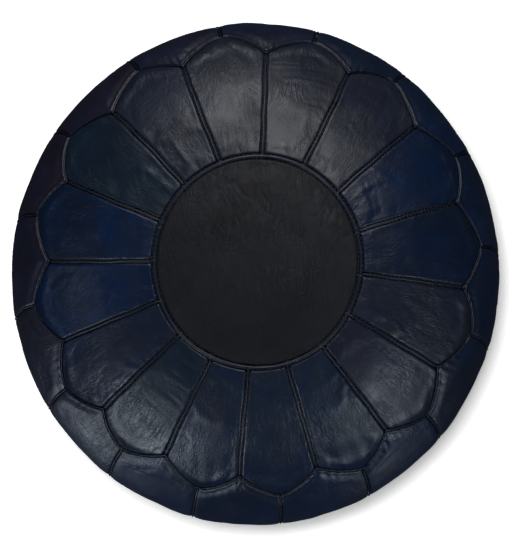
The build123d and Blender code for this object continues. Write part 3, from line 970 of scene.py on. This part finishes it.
# ---- base ----
POCKET_DEPTH, MOUTH_HALF, ROOF_HALF, POCKET_RUN = 6.0, 24.0, 15.0, 147.0
SLOT_HALF, SLOT_RUN, SHORT_SEAM_END = 9.0, 141.0, 186.0
BASE_RIM = BASE_SEAM_R - 2.3
DOWN = np.array([0.0, 0.0, -1.0])


def pocket_rise(x, y, depth, mouth, roof):
    """How far the base is drawn up over the zip pocket, from the distance to the zip's line."""
    off = np.hypot(np.maximum(np.abs(x) - POCKET_RUN, 0), y)
    return depth * (1 - smooth(roof, mouth, off))


def base_skin_z(r):
    """Height of the base's outer face at a radius."""
    return np.interp(dist_at(r, upper=False), DIST, RISE) * (r > 150)


def build_base(side, name, node):
    """Half of the base. Its inner edge runs round the slot and along the short seams beyond it."""
    cols, rows = ((241, 73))
    a, b = np.meshgrid(np.linspace(0, 1, cols), np.linspace(0, 1, rows))
    x_in = -SHORT_SEAM_END * np.cos(math.pi * a)
    y_in = np.sqrt(np.maximum(SLOT_HALF**2 - np.maximum(np.abs(x_in) - SLOT_RUN, 0) ** 2, 0))
    y_in = np.where(np.abs(x_in) > SLOT_RUN + SLOT_HALF, 0.25, np.maximum(y_in, 0.25))
    turn = math.radians(1.0) + (math.pi - math.radians(2.0)) * a
    x_out, y_out = -BASE_RIM * np.cos(turn), BASE_RIM * np.sin(turn)
    b = b + 0.35 * b * (b - 1)
    x = x_in + (x_out - x_in) * b
    y = y_in + (y_out - y_in) * b
    r = np.hypot(x, y)
    p = point(x, y * side, 7.7 * side)
    rim, slot_edge = BASE_RIM - r, y - y_in
    from_rim = np.maximum(rim, 0)
    z = base_skin_z(r) + pocket_rise(x, y, POCKET_DEPTH, MOUTH_HALF, ROOF_HALF)
    flat = smooth(0, 25, rim) * smooth(26, 60, y)
    z = z + flat * 0.5 * (1 + clouds(p, 46.0, 801)) + smooth(2, 10, rim) * 0.12 * (1 + clouds(p, 13.0, 802))
    z = z + 1.8 * np.exp(-((from_rim / 1.3) ** 1.3)) + 0.5 * np.exp(-((slot_edge / 0.9) ** 1.4))
    gather = np.sin(np.degrees(np.arctan2(y, x)) * 1.55 + 2 * noise(p / 14, 803))
    z = np.maximum(z + 0.5 * (1 + gather) * np.exp(-from_rim / 14) * smooth(1, 5, rim), 0.0)
    order = slice(None, None, -side)
    outer = point(x, y * side, z)[:, order]
    # painted shade in the colour near the rim's seam and the slot's edge, as on the panels
    near = np.maximum(np.minimum(rim, slot_edge + 3), 0)
    dye = slab_points(dye_with_painted_light((0.1, 0.2, 0.05, 0.1), p, near, 811)[:, order])
    cut = slab_points((p * MM)[:, order])
    cover_piece(name, slab(outer, outer - 1.5 * DOWN), leather, node, dye, cut)


build_base(-1, "base_skin_front", "base_panel_front")
build_base(1, "base_skin_back", "base_panel_back")

# ---- zip ----
def box_mm(node):
    low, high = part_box(node)
    return np.array(low) / MM, np.array(high) / MM


def build_tape(node, name, seed):
    """A woven tape: a thin closed strip that ripples a little, with its inner edge clamped by the teeth."""
    low, high = box_mm(node)
    x, y = np.meshgrid(np.linspace(low[0], high[0], 301), np.linspace(low[1], high[1], 13))
    inner_edge = low[1] if abs(low[1]) < abs(high[1]) else high[1]
    free = smooth(1, 6, np.abs(y - inner_edge))
    mid = (low[2] + high[2]) / 2
    ripple = 0.22 * free * noise(point(x / 9, y / 30, seed), seed)
    rib = 0.05 * np.sin(x * 2 * math.pi / 2.0)
    shape = slab(point(x, y, mid - 0.26 + ripple + rib), point(x, y, mid + 0.26 + ripple))
    cover_piece(name, shape, tape_weave, node)


def weave_material(name, dark, light, scale, rough, bump):
    """Plain weave: two crossing sets of threads."""
    k = Nodes(name)
    where = k.place()
    waves = {"Vector": where, "Scale": scale, "Distortion": 0.6, "Detail": 2.0}
    warp, weft = (k.add("ShaderNodeTexWave", waves, bands_direction=way).outputs["Fac"] for way in "XY")
    cloth = k.math("MULTIPLY", warp, weft)
    uneven = k.math("MULTIPLY", k.noise(where, 90.0, 4.0), 0.8)
    colour = k.mix(k.fit(k.math("ADD", cloth, uneven), 0.1, 1.3), dark, light)
    sockets = {"Base Color": colour, "Roughness": rough, "Normal": k.bump(cloth, bump, 0.6)}
    return k.surface(sockets | {"Sheen Weight": 0.25})


def metal_material(name, clean, dull, rough):
    """Brass that has gone a little dull, with fine scratches."""
    k = Nodes(name)
    where = k.place()
    tarnish = k.fit(k.noise(where, 130.0, 5.0, 0.6), 0.4, 0.68)
    scratch = k.noise(k.stretch(where, (0.15, 2.2, 1.0), 0.3), 2600.0, 3.0, 0.6)
    worn = k.fit(scratch, 0.3, 0.7, rough - 0.06, rough + 0.1)
    return k.surface(
        {
            "Base Color": k.mix(tarnish, clean, dull),
            "Roughness": k.math("ADD", worn, k.math("MULTIPLY", tarnish, 0.12)),
            "Normal": k.bump(scratch, 0.00004, 0.4),
            "Metallic": 1.0,
        }
    )


TAPE_DARK, TAPE_LIGHT = (0.006, 0.007, 0.011), (0.03, 0.032, 0.045)
tape_weave = weave_material("zip_tape_weave", TAPE_DARK, TAPE_LIGHT, 420.0, 0.8, 0.0002)
brass = metal_material("worn_brass", (0.62, 0.44, 0.2), (0.28, 0.19, 0.1), 0.34)
build_tape("zip_tape_front", "tape_front", 821)
build_tape("zip_tape_back", "tape_back", 822)
for part in ("teeth_front", "teeth_back", "top_stops", "bottom_stop", "slider", "pull"):
    mesh = frame["nodes"]["zip_" + part].data
    mesh.materials.clear()
    mesh.materials.append(brass)

PATCH_LENGTH = 12.0
LINING_START, LINING_END = 139.0, 184.0


def build_patches():
    """Small crowned leather patches over the zip's ends, and a lining behind the slot's ends."""
    low, high = box_mm("zip_end_patches")
    half = (high[1] - low[1]) / 2
    pieces = []
    for side in (-1, 1):
        centre = side * (high[0] - PATCH_LENGTH / 2)
        u, v = np.meshgrid(np.linspace(-1, 1, 25), np.linspace(-1, 1, 25))
        square = 1 - 0.12 * (u * v) ** 2 * 1.6
        x, y = centre + u * PATCH_LENGTH / 2 * square, v * half * square
        edge = np.minimum(1 - np.abs(u), 1 - np.abs(v)) * 6
        z = low[2] + 0.75 * np.exp(-((edge / 0.7) ** 1.5)) + 0.08 * noise(point(x / 3, y / 3, 0.0), 831)
        pieces.append(slab(point(x, y, z)[:, ::-1], point(x, y, high[2] - 0.02)[:, ::-1]))
        run = side * np.linspace(LINING_START, LINING_END, 24)
        rise = base_skin_z(np.abs(run)) + pocket_rise(run, 0.0, POCKET_DEPTH, MOUTH_HALF, ROOF_HALF)
        pieces.append(tube(point(run, 0.0, rise + 3.4), DOWN, 10.5, 8, 0.06))
    verts, faces = join(pieces)
    dye = np.ones((len(verts), 1)) * NAVY * 0.9
    cover_piece("zip_patches", (verts, faces), leather, "zip_end_patches", dye, verts * MM)


def base_stitches():
    """Rows of thread beside the slot, which hold the zip."""
    pieces = []
    for side in (-1, 1):
        for off in (SLOT_HALF + 2.0, SLOT_HALF + 4.4):
            for k in range(66):
                start = -140 + k * 4.24
                x = np.linspace(start + 0.6, start + 3.4, 5)
                z = POCKET_DEPTH - 0.12 + np.array([0.5, -0.05, -0.15, -0.05, 0.5])
                pieces.append(tube(point(x, side * off, z), DOWN, SIDE_THREAD))
    cover_piece("base_stitches", join(pieces), thread)


build_patches()
base_stitches()


# ---- inside: liner and stuffing ----
def closed_bag(name, node, depth, ripple, lumps, roof, seed, material):
    """A closed bag inside the cover, drawn up over the zip pocket."""
    cols, rows = 128, 60
    angle = np.linspace(0, 360, cols, endpoint=False)
    d, a = np.meshgrid(np.linspace(0, DIST[-1], rows), angle, indexing="ij")
    p = place(a, d, np.zeros_like(a))
    h = -depth + lumps * clouds(p, 70.0, seed) - lumps + ripple * clouds(p, 18.0, seed + 1) - ripple
    fr, fa = np.meshgrid(np.linspace(RADIUS[-1], 0, 14)[1:], np.radians(angle), indexing="ij")
    grid = np.concatenate([place(a, d, h), point(fr * np.cos(fa), fr * np.sin(fa), depth)])
    x, y, z = grid[..., 0], grid[..., 1], grid[..., 2]
    grid[..., 2] = np.where(z < 40, np.maximum(z, pocket_rise(x, y, roof, 44.0, 30.0)), z)
    verts = np.concatenate([grid[0, :1], grid[1:-1].reshape(-1, 3), grid[-1, :1]])
    index = wrap(numbers(len(grid) - 2, cols, 1))
    faces = fan(0, index[0]) + quads(index, flip=True) + fan(len(verts) - 1, index[-1, ::-1])
    return cover_piece(name, (verts, faces), material, node)


def fibre_material():
    k = Nodes("loose_fibre")
    clump = k.noise(k.place(), 45.0, 6.0, 0.7, 1.5)
    colour = k.mix(clump, (0.42, 0.4, 0.36), (0.72, 0.7, 0.66))
    return k.surface({"Base Color": colour, "Roughness": 0.95, "Normal": k.bump(clump, 0.003, 0.8)})


cotton = weave_material("liner_cotton", (0.36, 0.33, 0.27), (0.66, 0.62, 0.54), 180.0, 0.85, 0.0004)
closed_bag("liner", "liner_bag", 4.4, 0.25, 0.0, 12.4, 841, cotton)
filling = closed_bag("filling", "stuffing", 6.4, 0.6, 0.9, 14.6, 851, fibre_material())

# ---- studio ----
def turned_surface(name, r, z, material):
    """A surface of revolution in millimetres, facing up and inward, closed at its first ring."""
    turn = np.linspace(0, 2 * math.pi, 96, endpoint=False)
    verts = point(r[:, None] * np.cos(turn), r[:, None] * np.sin(turn), z[:, None])
    index = numbers(len(r), len(turn))
    piece = make_object(name, verts.reshape(-1, 3), quads(wrap(index), flip=True) + [index[0].tolist()])
    piece.data.materials.append(material)
    piece.visible_glossy = piece.visible_diffuse = False
    return piece


def stage_material(name, shade, glow):
    """Pale paper that shows only from its upper side, so that the pouf can be seen from below.

    It glows from the first strength in glow, under the pouf, to the second, far away.
    """
    k = Nodes(name)
    where = k.place()
    far = k.add("ShaderNodeVectorMath", {0: where}, operation="LENGTH").outputs["Value"]
    paper = k.mix(k.noise(where, 6.0, 3.0), (shade - 0.03,) * 3, (shade,) * 3)
    k.surface({"Base Color": paper, "Roughness": 0.9, "Specular IOR Level": 0.0})
    k.surface({"Emission Color": (1, 1, 1, 1), "Emission Strength": k.fit(far, 0.7, 2.6, *glow)})
    clear = k.add("ShaderNodeBsdfTransparent").outputs[0]
    behind = k.add("ShaderNodeNewGeometry").outputs["Backfacing"]
    mix = k.add("ShaderNodeMixShader", {0: behind, 1: k.shader.outputs[0], 2: clear})
    k.tree.links.new(mix.outputs[0], k.out.inputs[0])
    return k.material


FLOOR_R, DOME_R, FLOOR_DROP = 4600.0, 4590.0, 0.3


def build_stage():
    """A round floor and a pale dome round it. Neither is mirrored in the leather or lights it."""
    paper = stage_material("pale_floor", 0.93, (0.42, 0.8))
    turned_surface("floor", np.linspace(20.0, FLOOR_R, 30), np.full(30, -FLOOR_DROP), paper)
    climb = np.radians(np.linspace(0, 89.5, 40))[::-1]
    paper = stage_material("pale_backdrop", 0.8, (0.8, 0.8))
    dome = turned_surface("backdrop", DOME_R * np.cos(climb), DOME_R * np.sin(climb), paper)
    dome.visible_shadow = False
    dome.data.flip_normals()


build_stage()

scene = bpy.context.scene
scene.view_settings.view_transform = "Standard"
scene.view_settings.look = "None"
scene.view_settings.exposure = 0.0
scene.world = world = bpy.data.worlds.new("studio")
world.use_nodes = True
world.node_tree.nodes["Background"].inputs[0].default_value = (0.9, 0.95, 1.0, 1)
world.node_tree.nodes["Background"].inputs[1].default_value = 0.02

TARGET = np.array([0.0, 0.0, EQUATOR_Z * MM])


def toward(picture_angle, elevation):
    """Direction from the pouf, at an angle in the picture and an elevation above the floor."""
    a, e = math.radians(picture_angle + CAMERA_ROLL), math.radians(elevation)
    return np.array([math.cos(a) * math.cos(e), math.sin(a) * math.cos(e), math.sin(e)])


def collect(name, wanted):
    """A collection of the meshes whose names are wanted, for lights that fall on those alone."""
    group = bpy.data.collections.new(name)
    scene.collection.children.link(group)
    for obj in list(scene.collection.all_objects):
        if obj.type == "MESH" and wanted(obj.name) and obj.name not in group.objects:
            group.objects.link(obj)
    return group


def softbox(name, angle, elevation, reach, size, watts, colour, receivers, blockers=None):
    """A rectangular soft light that faces the pouf and lights only its receivers."""
    light = bpy.data.lights.new(name, "AREA")
    light.shape = "RECTANGLE"
    light.size, light.size_y = size
    light.energy = watts
    light.color = colour
    obj = bpy.data.objects.new(name, light)
    scene.collection.objects.link(obj)
    away = toward(angle, elevation)
    obj.location = TARGET + away * reach
    obj.rotation_euler = Vector(away).to_track_quat("Z", "Y").to_euler()
    obj.light_linking.receiver_collection = receivers
    obj.light_linking.blocker_collection = blockers


floor_only = collect("floor_only", lambda key: key == "floor")
whole_pouf = collect("whole_pouf", lambda key: key not in ("floor", "backdrop"))
underside = collect("underside", lambda key: key.startswith(("base_", "tape_", "zip_", "liner")))
sides = collect("sides", lambda key: key.startswith("side_"))

WHITE, COOL, SKY = (1.0, 1.0, 1.0), (0.8, 0.9, 1.0), (0.78, 0.89, 1.0)
softbox("key_high", 67, 58, 2.4, (0.75, 1.0), 32, WHITE, whole_pouf)
softbox("key_low", 98, 34, 2.4, (1.1, 0.8), 34, WHITE, whole_pouf)
softbox("low_left", 236, 17, 2.0, (0.7, 0.4), 23, COOL, whole_pouf)
softbox("low_right", 314, 22, 2.0, (0.7, 0.5), 17, COOL, whole_pouf)
softbox("left", 187, 24, 2.1, (0.4, 0.4), 3, SKY, whole_pouf)
softbox("floor_wash", 150, 86, 2.4, (0.32, 0.32), 58, WHITE, floor_only)
# the floor mustn't stop the lights from below
softbox("under_front", -70, -52, 2.2, (1.0, 1.0), 16, COOL, underside, whole_pouf)
softbox("under_back", 120, -66, 2.2, (1.0, 1.0), 9, COOL, underside, whole_pouf)
softbox("under_sides", 0, -89, 2.2, (0.45, 0.45), 14, COOL, sides, whole_pouf)
softbox("bounce_left", 224, -16, 2.2, (0.6, 0.6), 8.5, SKY, sides, whole_pouf)
softbox("bounce_right", 306, -16, 2.2, (0.5, 0.5), 2.2, SKY, sides, whole_pouf)

CAMERA_REACH = 2.2
PICTURE_WIDTH = 0.5556  # metres that the picture's width takes in at the pouf's widest ring
TILT = 1.4  # degrees that the camera is off the vertical
TILT_TOWARDS = -102
AIM_DOWN, AIM_LEFT = 0.012, 0.0016  # metres that the picture's middle is off the pouf's, in the picture
SENSOR = 36.0
camera_data = bpy.data.cameras.new("camera")
camera = bpy.data.objects.new("camera", camera_data)
scene.collection.objects.link(camera)
scene.camera = camera
camera_data.sensor_fit = "HORIZONTAL"
camera_data.sensor_width = SENSOR
camera_data.lens = SENSOR * CAMERA_REACH / PICTURE_WIDTH
camera_data.clip_start, camera_data.clip_end = 0.05, 30.0

back = Vector(toward(TILT_TOWARDS, 90 - TILT))
picture_up = Vector(toward(90, 0))
right = picture_up.cross(back).normalized()
up = back.cross(right)
aim = Vector(TARGET) + Vector(toward(-90, 0)) * AIM_DOWN + Vector(toward(180, 0)) * AIM_LEFT
rotation = Matrix((right, up, back)).transposed().to_4x4()
camera.matrix_world = Matrix.Translation(aim + back * CAMERA_REACH) @ rotation
